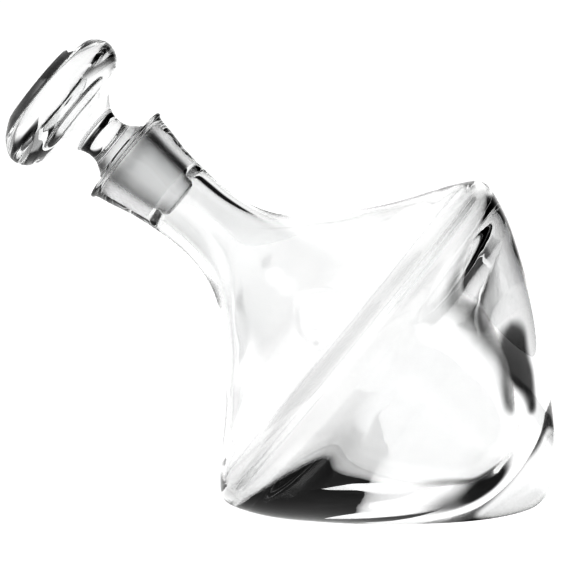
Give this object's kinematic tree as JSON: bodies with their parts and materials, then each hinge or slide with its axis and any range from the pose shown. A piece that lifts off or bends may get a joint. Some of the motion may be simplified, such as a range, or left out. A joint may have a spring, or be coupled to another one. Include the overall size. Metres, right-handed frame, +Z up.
{
  "type": "wine decanter",
  "caption": "Tilted crystal wine decanter: a heavy-based round vessel that rests on its side with a slanted neck, closed by a solid ground glass stopper with a disc knob.",
  "frame": {"origin": "centre of the polished resting flat, on the surface that the decanter stands on", "axes": "+Z up; the neck axis lies in the XZ plane and rises towards -X at 39.1 degrees, the heavy tip points to +X; +Y to the side"},
  "size_m": [0.2505, 0.1862, 0.219],
  "materials": {
    "vessel_crystal": "fire-polished clear crystal, with a satin ground seat inside the mouth",
    "stopper_crystal": "polished clear crystal knob, with a satin ground plug"
  },
  "bodies": {
    "vessel": {"decanter_base": "vessel_crystal", "decanter_shoulder": "vessel_crystal", "decanter_neck": "vessel_crystal"},
    "stopper": {"stopper": "stopper_crystal"}
  },
  "joints": [
    {"name": "stopper_lift", "type": "slide", "parent": "vessel", "child": "stopper", "axis": [-0.776, 0, 0.6307], "range_m": [0, 0.06]}
  ]
}
